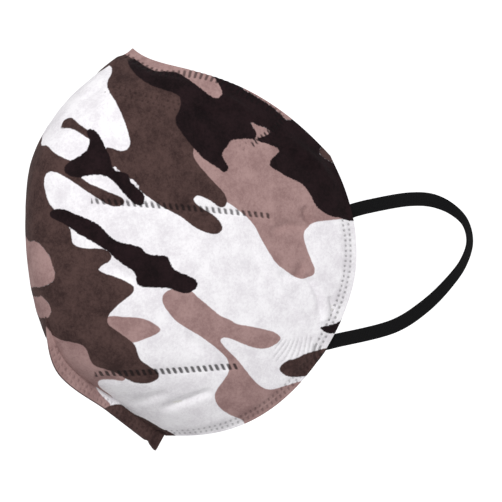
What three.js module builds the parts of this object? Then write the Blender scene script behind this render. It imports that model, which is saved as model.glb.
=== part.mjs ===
// A fold-flat half mask, opened into its cup: two mirrored halves joined at a centre fold and a welded chin seam.
// Each half is five layers of nonwoven, a length of nose wire and an elastic ear loop. Millimetres, +Z up.
// The wearer faces -Y, X = 0 is the mirror plane, and the origin is the centre of the opening at the face.
import * as THREE from "three";

// Overall sizes
const NOSE_TO_CHIN = 150; // height of the cup along the mirror plane
const DEPTH = 111; // from the ear edges forward to the centre fold
const OPENING_WIDTH = 92; // between the two ear edges

// Layers, from the outside in
const COVER = 0.4;
const COTTON = 0.8;
const FILTER = 0.3;
const LINER = 0.3;
const GAP = 0.3; // clearance between neighbouring pieces
const HALF_GAP = 0.2; // from the mirror plane to each half

// Border, nose wire, seam
const HEM = 5; // welded border round the edge, where only cover and liner remain
const CHANNEL = 16; // depth of the nose-wire channel below the top edge, border included
const WIRE_WIDTH = 4;
const WIRE_HALF = 48; // length of each half of the wire
const WIRE_START = 1.5; // from the mirror plane to each half, room for its square end to turn
const WIRE_BELOW_EDGE = 8; // middle of the wire below the top edge
const SEAM_FIN = 5; // how far the chin seam stands out of the fold
const SEAM_THICKNESS = 0.8;

// Ear loop
const BAND_WIDTH = 5.2;
const BAND_THICKNESS = 0.9;
const BAND_CLEARANCE = 0.6; // between the liner and the band's welded ends
const BAND_PAST_EDGE = 2.2; // the welded ends run this far past the ear edge
const LOOP_CLEARANCE = 0.4; // between a welded end and the corners of the free loop as it swings
const LOOP_FLARE = THREE.MathUtils.degToRad(30); // turns the free loop outwards
const LOOP_RISE = 0.25; // slope at which the band leaves the ear edge
const UPPER_END = { from: [0.74, 0.1], to: [1, 0.28] }; // weld to ear edge, as [across, down] the half
const LOWER_END = { from: [0.85, 0.965], to: [1, 0.985] };

// The cup's surface is a set of cubic rows from the centre fold to the edge. Each row has four control points, and
// this block gives them at eight heights, drawn for a mask of these sizes and graded to the ones above.
const BLOCK = { halfWidth: 46, depth: 111, halfHeight: 75 };
const FOLD = [
  [0, -68.5, 74.5],
  [0, -92.5, 54.5],
  [0, -108, 32],
  [0, -110.5, 8],
  [0, -107.5, -16],
  [0, -97.5, -39.5],
  [0, -76, -54],
  [0, -53.7, -69],
];
const FRONT = [
  [25, -71, 62],
  [29, -93, 51.5],
  [27, -108, 31],
  [25, -110.5, 7],
  [24, -107.5, -17],
  [21, -96, -41.5],
  [17, -71, -58],
  [13, -48, -68.5],
];
const CHEEK = [
  [38, -48, 72.5],
  [38, -52, 46],
  [39, -55, 26],
  [40, -56, 6],
  [40, -55, -15],
  [38, -50, -39],
  [35, -41, -58],
  [32, -31, -71],
];
const EAR_EDGE = [
  [42, -9, 34.8],
  [44.2, -4.5, 24],
  [45.4, -1.5, 14],
  [46, 0, 4],
  [46, 0, -6],
  [45.3, -1.5, -15],
  [43.8, -5.5, -26.5],
  [41, -10.5, -37],
];
const CHIN_BEND = 5 / 7; // where the seam starts, as a share of the way down the fold

// The free ear loop: [back from the ear edge, up], in its own flat plane, between its two exits
const LOOP_ROUTE = [
  [10, 17.8],
  [22, 19],
  [32, 18.6],
  [39.5, 15.2],
  [44, 10.2],
  [46, 3.5],
  [44.9, -4.6],
  [38.6, -15],
  [29.6, -23.4],
  [16.5, -30.4],
];
const LOOP_TWIST = THREE.MathUtils.degToRad(65); // how far the band has turned edge-on at the back of the loop

const ACROSS = 11; // steps of a layer's mesh from fold to ear edge
const DOWN = 14; // and from top edge to bottom edge
const BAND_STEPS = 30;

// The lay-up, worked out from the middle of the stack
const stack = { cover: COVER, cotton: COTTON, filter1: FILTER, filter2: FILTER, liner: LINER };
const stackThickness =
  Object.values(stack).reduce((sum, t) => sum + t, 0) + GAP * (Object.keys(stack).length - 1);
const layers = {};
let face = stackThickness / 2;
for (const [name, thickness] of Object.entries(stack)) {
  layers[name] = { outer: face, inner: face - thickness };
  face -= thickness + GAP;
}

const grade = new THREE.Vector3(
  OPENING_WIDTH / 2 / BLOCK.halfWidth,
  DEPTH / BLOCK.depth,
  NOSE_TO_CHIN / 2 / BLOCK.halfHeight,
);
const graded = (points) => points.map((p) => new THREE.Vector3(...p).multiply(grade));
const columns = [FOLD, FRONT, CHEEK, EAR_EDGE].map(
  (points) => new THREE.CatmullRomCurve3(graded(points), false, "centripetal"),
);

// A point of the left half's middle surface: across runs 0 to 1 from the fold to the edge, down from top to bottom.
function surface(across, down) {
  const [a, b, c, d] = columns.map((curve) => curve.getPoint(THREE.MathUtils.clamp(down, 0, 1)));
  return new THREE.CubicBezierCurve3(a, b, c, d).getPoint(across);
}

function outward(across, down) {
  const step = 0.01;
  const along = surface(Math.min(across + step, 1), down).sub(surface(Math.max(across - step, 0), down));
  const below = surface(across, Math.min(down + step, 1)).sub(surface(across, Math.max(down - step, 0)));
  return below.cross(along).normalize();
}

function length(points) {
  return points.slice(1).reduce((sum, p, i) => sum + p.distanceTo(points[i]), 0);
}
const sampled = (f, n = 16) => Array.from({ length: n + 1 }, (_, i) => f(i / n));
const rowLength = (down) => length(sampled((t) => surface(t, down)));
const columnLength = (across) => length(sampled((t) => surface(across, t)));

// Joins rings of points, all with the same number, into one closed body: quads between rings and a fan at each end.
function loft(rings) {
  const n = rings[0].length;
  const positions = rings.flat().flatMap((p) => [p.x, p.y, p.z]);
  const index = [];
  for (let r = 0; r + 1 < rings.length; r++)
    for (let k = 0; k < n; k++) {
      const [a, b] = [r * n + k, r * n + ((k + 1) % n)];
      index.push(a, b, b + n, a, b + n, a + n);
    }
  const last = (rings.length - 1) * n;
  for (let k = 1; k + 1 < n; k++) index.push(0, k + 1, k, last, last + k, last + k + 1);
  return new THREE.BufferGeometry()
    .setAttribute("position", new THREE.Float32BufferAttribute(positions, 3))
    .setIndex(index);
}

// The mirror image of a geometry across X = 0, with its faces turned back outwards.
function mirrored(geometry) {
  const other = geometry.clone().scale(-1, 1, 1);
  const index = other.index.array;
  for (let i = 0; i < index.length; i += 3) [index[i + 1], index[i + 2]] = [index[i + 2], index[i + 1]];
  return other;
}

// One net of points on the middle surface serves every layer, so that their facets nest. Its second row and its
// last but one row and column lie on the border weld, and its third row is the foot of the nose-wire channel.
const acrossAt = (i, down) =>
  i === ACROSS ? 1 : (i / (ACROSS - 1)) * (1 - HEM / rowLength(down));
function downAt(j, high) {
  const [first, last] = [CHANNEL / high, 1 - HEM / high];
  if (j === 0) return 0;
  if (j === 1) return HEM / high;
  if (j === DOWN) return 1;
  return first + ((last - first) * (j - 2)) / (DOWN - 3);
}
const net = Array.from({ length: DOWN + 1 }, (_, j) =>
  Array.from({ length: ACROSS + 1 }, (_, i) => {
    const roughly = acrossAt(i, j / DOWN);
    const down = downAt(j, columnLength(roughly));
    const across = acrossAt(i, down);
    return { at: surface(across, down), normal: outward(across, down) };
  }),
);

// A point off the net, at a distance from the middle surface, kept on its own side of the mirror plane.
function offNet({ at, normal }, distance) {
  const p = at.clone().addScaledVector(normal, distance);
  p.x = Math.max(p.x, HALF_GAP);
  return p;
}

// One layer of the left half, between two distances from the middle surface. A layer with a weld reaches the edge
// and comes down to the weld's distances there, and the others start at a row of the net and end at its border.
function layerGeometry({ outer, inner }, { firstRow = 1, weld = null }) {
  const [rows, columns] = weld ? [[0, DOWN], ACROSS] : [[firstRow, DOWN - 1], ACROSS - 1];
  const grid = [];
  for (let j = rows[0]; j <= rows[1]; j++)
    grid.push(
      net[j].slice(0, columns + 1).map((station, i) => {
        const welded = weld && (i === ACROSS || j === 0 || j === DOWN);
        const [far, near] = welded ? [weld.outer, weld.inner] : [outer, inner];
        const pair = [offNet(station, far), offNet(station, near)];
        if (i === 0) pair.forEach((p) => p.setX(HALF_GAP));
        return pair;
      }),
    );
  return skin(grid);
}

// A closed body from a grid of [outer, inner] point pairs.
function skin(grid) {
  const [rows, cols] = [grid.length, grid[0].length];
  const positions = grid.flat(2).flatMap((p) => [p.x, p.y, p.z]);
  const at = (j, i, side) => (j * cols + i) * 2 + side;
  const index = [];
  const quad = (a, b, c, d) => index.push(a, b, c, a, c, d);
  for (let j = 0; j + 1 < rows; j++)
    for (let i = 0; i + 1 < cols; i++) {
      quad(at(j, i, 0), at(j + 1, i, 0), at(j + 1, i + 1, 0), at(j, i + 1, 0));
      quad(at(j, i, 1), at(j, i + 1, 1), at(j + 1, i + 1, 1), at(j + 1, i, 1));
    }
  for (let i = 0; i + 1 < cols; i++) {
    quad(at(0, i, 0), at(0, i + 1, 0), at(0, i + 1, 1), at(0, i, 1));
    quad(at(rows - 1, i, 1), at(rows - 1, i + 1, 1), at(rows - 1, i + 1, 0), at(rows - 1, i, 0));
  }
  for (let j = 0; j + 1 < rows; j++) {
    quad(at(j, 0, 1), at(j + 1, 0, 1), at(j + 1, 0, 0), at(j, 0, 0));
    quad(at(j, cols - 1, 0), at(j + 1, cols - 1, 0), at(j + 1, cols - 1, 1), at(j, cols - 1, 1));
  }
  return new THREE.BufferGeometry()
    .setAttribute("position", new THREE.Float32BufferAttribute(positions, 3))
    .setIndex(index);
}

// A flat strip swept along points: its faces look along each normal, and its width lies across the run.
function stripGeometry(points, normals, width, thickness) {
  const rings = points.map((p, i) => {
    const run = points[Math.min(i + 1, points.length - 1)].clone().sub(points[Math.max(i - 1, 0)]).normalize();
    const up = normals[i].clone().addScaledVector(run, -normals[i].dot(run)).normalize();
    const side = up.clone().cross(run);
    const corner = (a, b) =>
      p.clone().addScaledVector(side, (a * width) / 2).addScaledVector(up, (b * thickness) / 2);
    return [corner(-1, -1), corner(1, -1), corner(1, 1), corner(-1, 1)];
  });
  return loft(rings);
}

// The wire lies in the channel, where the bulky layer is cut away, and follows the net between its two rows.
function wireGeometry() {
  const middle = (layers.cotton.outer + layers.cotton.inner) / 2;
  const share = (WIRE_BELOW_EDGE - HEM) / (CHANNEL - HEM);
  const stations = net[1].map((upper, i) => {
    const lower = net[2][i];
    const normal = upper.normal.clone().lerp(lower.normal, share).normalize();
    const p = offNet(upper, middle).lerp(offNet(lower, middle), share);
    return { p, normal };
  });
  const [first, second] = stations;
  first.p.lerp(second.p, WIRE_START / first.p.distanceTo(second.p));
  const run = [first];
  let left = WIRE_HALF;
  for (let i = 1; left > 0; i++) {
    const [before, next] = [stations[i - 1], stations[i]];
    const step = before.p.distanceTo(next.p);
    const part = Math.min(1, left / step);
    run.push({ p: before.p.clone().lerp(next.p, part), normal: next.normal });
    left -= step;
  }
  return stripGeometry(run.map((s) => s.p), run.map((s) => s.normal), WIRE_WIDTH, COTTON);
}

// The welded fin at the chin, in the mirror plane, standing out of the fold where the two halves meet.
function seamGeometry() {
  const [start, end, steps] = [CHIN_BEND - 0.02, 0.995, 12];
  const taper = 3; // steps over which the fin grows to its full width
  const fold = sampled((t) => surface(0, start + (end - start) * t), steps);
  const edge = (width) =>
    fold.map((p, i) => {
      const run = fold[Math.min(i + 1, steps)].clone().sub(fold[Math.max(i - 1, 0)]).normalize();
      const distance = stackThickness / 2 + GAP + width(Math.min(1, (i + 0.5) / taper));
      return new THREE.Vector2(p.y + run.z * distance, p.z - run.y * distance);
    });
  const outline = [...edge(() => 0), ...edge((share) => SEAM_FIN * share).reverse()];
  const geometry = new THREE.ExtrudeGeometry(new THREE.Shape(outline), {
    depth: SEAM_THICKNESS,
    bevelEnabled: false,
  });
  // The outline was drawn as (Y, Z), so its plane turns to face along X.
  geometry.translate(0, 0, -SEAM_THICKNESS / 2);
  geometry.applyMatrix4(new THREE.Matrix4().makeBasis(
    new THREE.Vector3(0, 1, 0),
    new THREE.Vector3(0, 0, 1),
    new THREE.Vector3(1, 0, 0),
  ));
  return geometry;
}

// The band lies against the liner from its weld to the ear edge, and turns back there along the flare of the loop.
const back = new THREE.Vector3(Math.sin(LOOP_FLARE), Math.cos(LOOP_FLARE), 0);
const out = new THREE.Vector3(Math.cos(LOOP_FLARE), -Math.sin(LOOP_FLARE), 0);
const leaving = back.clone().setZ(LOOP_RISE).normalize();
const bandDepth = layers.liner.inner - BAND_CLEARANCE - BAND_THICKNESS / 2;
function endRoute({ from, to }) {
  const inside = sampled((t) => {
    const [across, down] = [0, 1].map((k) => from[k] + (to[k] - from[k]) * t);
    const normal = outward(across, down);
    return { p: surface(across, down).addScaledVector(normal, bandDepth), normal };
  }, 7);
  const edge = inside.at(-1);
  const past = [0.5, 1].map((t) => ({
    p: edge.p.clone().addScaledVector(leaving, BAND_PAST_EDGE * t),
    normal: edge.normal.clone().lerp(out, t),
  }));
  return [...inside, ...past];
}
function endGeometry(end) {
  const route = endRoute(end);
  return stripGeometry(route.map((s) => s.p), route.map((s) => s.normal), BAND_WIDTH, BAND_THICKNESS);
}

// The two points that the free loop turns about, far enough past the welded ends for its corners to swing clear.
const hingePoint = (end) => endRoute(end).at(-1).p.addScaledVector(leaving, LOOP_CLEARANCE + BAND_THICKNESS / 2);
const hinge = { upper: hingePoint(UPPER_END), lower: hingePoint(LOWER_END) };

function loopGeometry() {
  const lead = (p) => p.clone().addScaledVector(leaving, BAND_WIDTH);
  const middle = hinge.upper.clone().lerp(hinge.lower, 0.5);
  const free = LOOP_ROUTE.map(([b, z]) => middle.clone().setZ(z).addScaledVector(back, b));
  const route = [hinge.upper, lead(hinge.upper), ...free, lead(hinge.lower), hinge.lower];
  const curve = new THREE.CatmullRomCurve3(route, false, "centripetal");
  const points = sampled((t) => curve.getPointAt(t), BAND_STEPS);
  const normals = sampled((t) => {
    const turn = LOOP_TWIST * Math.sin(Math.PI * t) ** 2;
    return out.clone().multiplyScalar(Math.cos(turn)).addScaledVector(back, Math.sin(turn));
  }, BAND_STEPS);
  return stripGeometry(points, normals, BAND_WIDTH, BAND_THICKNESS);
}

const finish = (name, color, roughness) =>
  new THREE.MeshStandardMaterial({ name, color, roughness, metalness: 0 });
const materials = {
  cover: () => finish("printed_nonwoven", 0x8a7672, 0.9),
  cotton: () => finish("hot_air_cotton", 0xf2f0ec, 1),
  filter: () => finish("melt_blown", 0xf6f6f4, 0.85),
  liner: () => finish("lining_nonwoven", 0xf4f2f0, 0.9),
  wire: () => finish("coated_wire", 0xe6e6e2, 0.5),
  elastic: () => finish("black_elastic", 0x1c1c1e, 0.8),
};

const mask = new THREE.Group();
const border = {
  cover: { outer: GAP / 2 + COVER, inner: GAP / 2 },
  liner: { outer: -GAP / 2, inner: -GAP / 2 - LINER },
};
const halfPieces = {
  outer_cover: [layerGeometry(layers.cover, { weld: border.cover }), materials.cover],
  hot_air_cotton: [layerGeometry(layers.cotton, { firstRow: 2 }), materials.cotton],
  filter_layer_1: [layerGeometry(layers.filter1, { firstRow: 1 }), materials.filter],
  filter_layer_2: [layerGeometry(layers.filter2, { firstRow: 1 }), materials.filter],
  inner_liner: [layerGeometry(layers.liner, { weld: border.liner }), materials.liner],
  nose_wire: [wireGeometry(), materials.wire],
  ear_loop_upper_end: [endGeometry(UPPER_END), materials.elastic],
  ear_loop_lower_end: [endGeometry(LOWER_END), materials.elastic],
  ear_loop: [loopGeometry(), materials.elastic],
};

function add(name, geometry, material) {
  const mesh = new THREE.Mesh(geometry, material());
  mesh.name = name;
  mask.add(mesh);
}
for (const [name, [geometry, material]] of Object.entries(halfPieces)) {
  add(`${name}_left`, geometry, material);
  add(`${name}_right`, mirrored(geometry), material);
}
add("chin_seam", seamGeometry(), materials.cover);

export default mask;
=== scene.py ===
# %% [markdown]
# # A camouflage half mask, opened for wearing
#
# A fold-flat filtering mask is welded from flat webs: a printed cover outside, a bulky cotton layer and two
# filters inside, and a soft lining against the face. Two mirrored halves meet at a fold over the nose and mouth
# and at a welded seam under the chin. A flat elastic band on each side goes round an ear.
#
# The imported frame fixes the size, the places and the joints. This script builds the looks round it.

# %% Load the fixed frame
import math

import bpy
import numpy as np
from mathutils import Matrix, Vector


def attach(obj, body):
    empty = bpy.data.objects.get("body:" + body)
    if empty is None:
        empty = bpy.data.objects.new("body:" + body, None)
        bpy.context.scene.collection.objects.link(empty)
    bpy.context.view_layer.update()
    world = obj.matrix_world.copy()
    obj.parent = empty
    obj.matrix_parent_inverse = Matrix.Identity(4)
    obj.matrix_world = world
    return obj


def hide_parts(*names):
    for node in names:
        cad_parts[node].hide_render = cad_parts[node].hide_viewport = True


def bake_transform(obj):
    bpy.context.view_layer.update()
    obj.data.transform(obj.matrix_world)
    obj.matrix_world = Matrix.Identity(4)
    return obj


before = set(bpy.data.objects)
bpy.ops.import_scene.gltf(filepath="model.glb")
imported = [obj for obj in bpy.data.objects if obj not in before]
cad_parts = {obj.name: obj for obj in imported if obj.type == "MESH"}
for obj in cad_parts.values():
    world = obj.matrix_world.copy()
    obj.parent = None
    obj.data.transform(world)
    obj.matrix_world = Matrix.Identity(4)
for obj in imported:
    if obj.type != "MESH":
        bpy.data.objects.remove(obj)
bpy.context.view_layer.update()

# %% [markdown]
# ## Camera
#
# The mask is seen from its left front, at the height of its middle, through a long lens that keeps its outline
# almost free of perspective. The view is aimed with two directions: `RIGHT` lies across the picture, and
# `TOWARDS` points from the mask to the camera.

# %% The camera
MM = 0.001
AZIMUTH = math.radians(55)
RIGHT = np.array([math.cos(AZIMUTH), math.sin(AZIMUTH), 0])
TOWARDS = np.array([math.sin(AZIMUTH), -math.cos(AZIMUTH), 0])
VIEW_WIDTH = 185.7 * MM
AIM = RIGHT * -12.45 * MM + TOWARDS * 45 * MM + np.array([0, 0, -0.4 * MM])
LENS = 260
SENSOR = 36

camera = bpy.data.objects.new("camera", bpy.data.cameras.new("camera"))
bpy.context.scene.collection.objects.link(camera)
camera.data.lens = LENS
camera.data.sensor_width = SENSOR
camera.location = AIM + TOWARDS * VIEW_WIDTH * LENS / SENSOR
camera.rotation_euler = (math.pi / 2, 0, AZIMUTH)
camera.data.clip_end = 50
bpy.context.scene.camera = camera
print("camera stands", round(VIEW_WIDTH * LENS / SENSOR, 2), "m away")

# %% [markdown]
# ## The surface of one half
#
# Every layer follows one surface. It is a family of cubic rows that run from the centre fold to the edge at the
# ears, and each row's four control points come from four columns: the fold, the front, the cheek and the ear
# edge. These are the same numbers, in millimetres, that the frame was drawn with, so nothing has to be fitted.

# %% The four columns
COLUMNS = {
    "fold": [(0, -68.5, 74.5), (0, -92.5, 54.5), (0, -108, 32), (0, -110.5, 8),
             (0, -107.5, -16), (0, -97.5, -39.5), (0, -76, -54), (0, -53.7, -69)],
    "front": [(25, -71, 62), (29, -93, 51.5), (27, -108, 31), (25, -110.5, 7),
              (24, -107.5, -17), (21, -96, -41.5), (17, -71, -58), (13, -48, -68.5)],
    "cheek": [(38, -48, 72.5), (38, -52, 46), (39, -55, 26), (40, -56, 6),
              (40, -55, -15), (38, -50, -39), (35, -41, -58), (32, -31, -71)],
    "ear_edge": [(42, -9, 34.8), (44.2, -4.5, 24), (45.4, -1.5, 14), (46, 0, 4),
                 (46, 0, -6), (45.3, -1.5, -15), (43.8, -5.5, -26.5), (41, -10.5, -37)],
}
LAYERS = {"cover": (1.65, 1.25), "cotton": (0.95, 0.15), "filter_1": (-0.15, -0.45),
          "filter_2": (-0.75, -1.05), "liner": (-1.35, -1.65)}  # outer and inner side, from the middle surface
BORDER = {"cover": (0.55, 0.15), "liner": (-0.15, -0.45)}  # the same two at the welded border
HEM = 5
CHANNEL = 16


def along_curve(points, share):
    """Points of a centripetal curve through the given ones, at shares 0 to 1 of its pieces."""
    points = np.asarray(points, float)
    place = np.clip(share, 0, 1) * (len(points) - 1)
    piece = np.minimum(place.astype(int), len(points) - 2)
    w = (place - piece)[..., None]
    longer = np.vstack([2 * points[0] - points[1], points, 2 * points[-1] - points[-2]])
    p0, p1, p2, p3 = (longer[piece + k] for k in range(4))
    spans = ((p0, p1), (p1, p2), (p2, p3))
    d0, d1, d2 = (np.sqrt(np.linalg.norm(b - a, axis=-1, keepdims=True)) for a, b in spans)
    t1 = ((p1 - p0) / d0 - (p2 - p0) / (d0 + d1) + (p2 - p1) / d1) * d1
    t2 = ((p2 - p1) / d1 - (p3 - p1) / (d1 + d2) + (p3 - p2) / d2) * d1
    return p1 + t1 * w + (3 * (p2 - p1) - 2 * t1 - t2) * w**2 + (2 * (p1 - p2) + t1 + t2) * w**3


def surface(across, down):
    """Points of the left half's middle surface: across from fold to ear edge, down from the top."""
    a, b, c, d = (along_curve(column, down) for column in COLUMNS.values())
    t = across[..., None]
    return a * (1 - t) ** 3 + 3 * b * t * (1 - t) ** 2 + 3 * c * t**2 * (1 - t) + d * t**3


def outward(across, down, step=0.004):
    """Unit normals of the surface, pointing out of the cup."""
    low, high = np.clip(across - step, 0, 1), np.clip(across + step, 0, 1)
    up, under = np.clip(down - step, 0, 1), np.clip(down + step, 0, 1)
    normal = np.cross(surface(across, under) - surface(across, up), surface(high, down) - surface(low, down))
    return normal / np.linalg.norm(normal, axis=-1, keepdims=True)


def runs(points):
    """How far along a line of points each one lies."""
    steps = np.linalg.norm(np.diff(points, axis=0), axis=1)
    return np.concatenate([[0], np.cumsum(steps)])


even_share = np.linspace(0, 1, 200)
half_way = np.full_like(even_share, 0.5)
column_mm = runs(surface(half_way, even_share))[-1]
row_mm = runs(surface(even_share, half_way))[-1]
print(f"a half measures {row_mm:.0f} mm from fold to ear edge and {column_mm:.0f} mm down its middle")

# %% [markdown]
# ## A net that is finest where the welds are
#
# Weld marks are about one millimetre wide, so the mesh has to be fine there. Equal steps would waste points on
# the plain cloth, and so the rows crowd together near the top and bottom edges and near the two stiffening
# lines. The columns are nearly even, because welds cross all of them, and a little finer at the ear edge.

# %% The net
FINE, COARSE, COLUMN_STEP = 0.42, 0.9, 0.5
FADE = 3  # millimetres over which the steps grow from fine to coarse


def crowded(length, fine_bands, fine, coarse):
    """Shares 0 to 1 along a length, with steps of about `fine` inside the bands and `coarse` outside them."""
    places = np.linspace(0, length, 4000)
    step = np.full_like(places, coarse)
    for centre, half_width in fine_bands:
        inside = np.clip((half_width + FADE - np.abs(places - centre)) / FADE, 0, 1)
        step = np.minimum(step, coarse + (fine - coarse) * inside)
    count = np.concatenate([[0], np.cumsum(np.diff(places) / step[1:])])
    wanted = 2 * int(round(count[-1] / 2))
    return np.interp(np.linspace(0, count[-1], wanted + 1), count, places) / length


NOSE_WELDS, UPPER_LINE, LOWER_LINE = (9, 9), (60, 5), (116, 5)  # each a centre and a half width
CHIN_WELDS, EAR_WELDS = (column_mm - 5, 6), (row_mm - 5, 6)
rows = crowded(column_mm, [NOSE_WELDS, UPPER_LINE, LOWER_LINE, CHIN_WELDS], FINE, COARSE)
columns = crowded(row_mm, [EAR_WELDS], FINE, COLUMN_STEP)
ACROSS, DOWN = np.meshgrid(columns, rows)
MIDDLE = surface(ACROSS, DOWN)
NORMAL = outward(ACROSS, DOWN)
print(f"net: {len(rows)} rows by {len(columns)} columns")

# %% [markdown]
# ## Marks pressed by the welding tools
#
# A weld is a row of small marks. For each row the script needs two numbers at every point of the net: how far
# along the row the point lies, counted in marks, and how far off to the side. From those two, one short rule
# draws dots, dashes or slanted dashes, and it presses the mesh in and darkens the cloth at the same places.
# That darkening is partly the melted web and partly painted shade for the pressed-in dents.
#
# Rows near an edge are measured from that edge on the surface. The others are drawn as lines on a flat plan
# that looks at the cheek squarely, with `PLAN` giving each point's place on it: across, and up.

# %% The plan of the cheek
def plan_of(points):
    """Places on the flat plan of the cheek: across, then up."""
    return np.stack([RIGHT[0] * np.abs(points[..., 0]) + RIGHT[1] * points[..., 1], points[..., 2]], axis=-1)


def smooth_line(points, steps=8, closed=False):
    """A smooth line through given points of the plan."""
    points = np.asarray(points, float)
    if closed:
        points = np.vstack([points[-2:], points, points[:3]])
    shares = np.linspace(0, 1, (len(points) - 1) * steps + 1)
    line = along_curve(points, shares)
    return line[2 * steps:-2 * steps] if closed else line


def near_line(places, line, reach=12):
    """For each place: how far along the line its nearest point is, and how far off it lies, signed by side."""
    along = np.zeros(places.shape[:-1])
    off = np.full(places.shape[:-1], float(reach))
    close = np.all((places > line.min(0) - reach) & (places < line.max(0) + reach), axis=-1)
    here = places[close]
    starts, pieces = line[:-1], np.diff(line, axis=0)
    lengths = np.linalg.norm(pieces, axis=1)
    best, run, side = (np.full(len(here), value) for value in (1e9, 0.0, 1.0))
    for start, piece, size, before in zip(starts, pieces, lengths, runs(line)):
        away = here - start
        share = np.clip(away @ piece / size**2, 0, 1)
        gap = np.linalg.norm(away - share[:, None] * piece, axis=1)
        nearer = gap < best
        best = np.where(nearer, gap, best)
        run = np.where(nearer, before + share * size, run)
        side = np.where(nearer, np.sign(away[:, 0] * piece[1] - away[:, 1] * piece[0] + 1e-12), side)
    along[close], off[close] = run, side * np.minimum(best, reach)
    return along, off


PLAN = plan_of(MIDDLE)
print("plan runs across", PLAN[..., 0].min().round(1), "to", PLAN[..., 0].max().round(1), "mm")

# %% [markdown]
# ## Distances from the edges
#
# Each edge of the half is one row or column of the net, so a point's distance from it is found from the nearest
# point of that line in space.

# %% Edge distances
AT_A_TIME = 4000  # points compared with an edge in one step, to save memory


def from_edge(points, edge):
    """How far along an edge line in space its nearest point lies, and how far away it is."""
    flat = points.reshape(-1, 3)
    run, gap = np.zeros(len(flat)), np.zeros(len(flat))
    places = runs(edge)
    for first in range(0, len(flat), AT_A_TIME):
        part = slice(first, first + AT_A_TIME)
        squares = ((flat[part, None, :] - edge[None]) ** 2).sum(-1)
        nearest = squares.argmin(1)
        run[part], gap[part] = places[nearest], np.sqrt(squares.min(1))
    return run.reshape(points.shape[:-1]), gap.reshape(points.shape[:-1])


edge_share = np.linspace(0, 1, 700)
edges = {
    "top": surface(edge_share, np.zeros_like(edge_share)),
    "ear": surface(np.ones_like(edge_share), edge_share),
    "bottom": surface(edge_share, np.ones_like(edge_share)),
}
EDGE = {name: from_edge(MIDDLE, points) for name, points in edges.items()}
BORDER_GAP = np.minimum.reduce([gap for _, gap in EDGE.values()])
for name, points in edges.items():
    print(name, "edge is", round(runs(points)[-1]), "mm long")

# %% [markdown]
# ## The rows of welds
#
# The mask has a comb of dashes along the nose hem, a double row of dots at the foot of the wire's channel and
# down the ear edge, and a double row of dashes along the chin. Two short stiffening lines of slanted dashes
# cross each cheek, and a hatched patch holds the lower end of the ear band.


# %% Weld rows
def dash_marks(along, off, pitch, width, length, slant=0.0, start=None, end=None):
    """How deeply each point is pressed, 0 to 1, by a row of rounded dashes across a line."""
    shifted = along / pitch - off * slant / pitch
    wide = np.abs(shifted - np.round(shifted)) * pitch / (width / 2)
    long = np.abs(off) / (length / 2)
    depth = np.clip(1.6 - 1.3 * np.sqrt(wide**2.6 + long**6 + 1e-9), 0, 1)
    if start is not None:
        depth = depth * (along > start) * (along < end)
    return depth


def plan_row(points, **marks):
    """A row of marks along a smooth line of the plan, from one end of it to the other."""
    line = smooth_line(points)
    along, off = near_line(PLAN, line)
    return dash_marks(along, off, start=0.05, end=runs(line)[-1] - 0.05, **marks)


STIFFENER_PITCH = 2.2
NOSE_COMB = [(-58.4, 70.9), (-55, 68.9), (-51, 66.4), (-47, 64.6), (-40, 64.2), (-33, 64.2), (-25, 62.4),
             (-19, 59.4), (-12, 55.6), (-6, 52.2), (-1, 48.6)]
CHANNEL_FOOT = [(-66, 58), (-60, 57), (-52, 54.6), (-44, 52.9), (-36, 50.8), (-26, 47.6), (-17, 39.4),
                (-14, 36.8)]
CHANNEL_END = [(-0.6, 48), (-3.4, 45.6), (-6.2, 43.2), (-9.2, 40.9), (-13, 38.2)]
STIFFENER_TOP = [(-70.4, 17.9), (-58, 17), (-43.5, 15.9), (-20.2, 13.9), (-6, 12.5)]
STIFFENER_FOOT = [(-69.2, -44.6), (-52, -44.2), (-34, -43.2), (-17.6, -42.3)]
LOWER_HATCH = [(-4.5, -36.5), (0.5, -37), (5.5, -36.3), (10.5, -34.6)]
weld = np.zeros_like(ACROSS)
scorch = np.zeros_like(ACROSS)


def press_in(row, depth, dark):
    """Add marks with a press depth and a darkening, 0 to 1; the darkening is melt plus painted dent shade."""
    global weld, scorch
    weld, scorch = np.maximum(weld, row * depth), np.maximum(scorch, row * dark)


press_in(plan_row(NOSE_COMB, pitch=2.1, width=1.3, length=3.4, slant=-0.2), 1, 0.75)
press_in(plan_row(CHANNEL_END, pitch=1.5, width=0.9, length=2.6), 1, 0.9)
for stiffener, dark in ((STIFFENER_TOP, 0.85), (STIFFENER_FOOT, 1)):
    press_in(plan_row(stiffener, pitch=STIFFENER_PITCH, width=1.45, length=2.5, slant=0.4), 1, dark)
press_in(plan_row(LOWER_HATCH, pitch=1.9, width=1.0, length=10, slant=-0.6), 0.7, 0.4)
foot_line = smooth_line(CHANNEL_FOOT)
foot_along, foot_off = near_line(PLAN, foot_line)
foot_ends = dict(start=0, end=runs(foot_line)[-1])
for shift in (-1.1, 1.1):
    row = dash_marks(foot_along + shift / 2, foot_off + shift, pitch=2.0, width=1.0, length=1.0, **foot_ends)
    press_in(row, 0.7, 0.5)
EAR_DOTS_BELOW, CHIN_DASHES_FROM_EAR = 16, 6
ear_run, ear_gap = EDGE["ear"]
for distance in (2.6, 5.0):
    row = dash_marks(ear_run, ear_gap - distance, pitch=2.05, width=1.3, length=1.3)
    press_in(row * (PLAN[..., 1] < EAR_DOTS_BELOW), 1, 0.6)
bottom_run, bottom_gap = EDGE["bottom"]
for distance in (1.7, 4.1):
    row = dash_marks(bottom_run, bottom_gap - distance, pitch=2.1, width=1.15, length=1.8, slant=0.25)
    press_in(row * (ear_gap > CHIN_DASHES_FROM_EAR), 0.8, 0.5)
print(f"welds cover {100 * (weld > 0.4).mean():.1f}% of the net's points")

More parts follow.
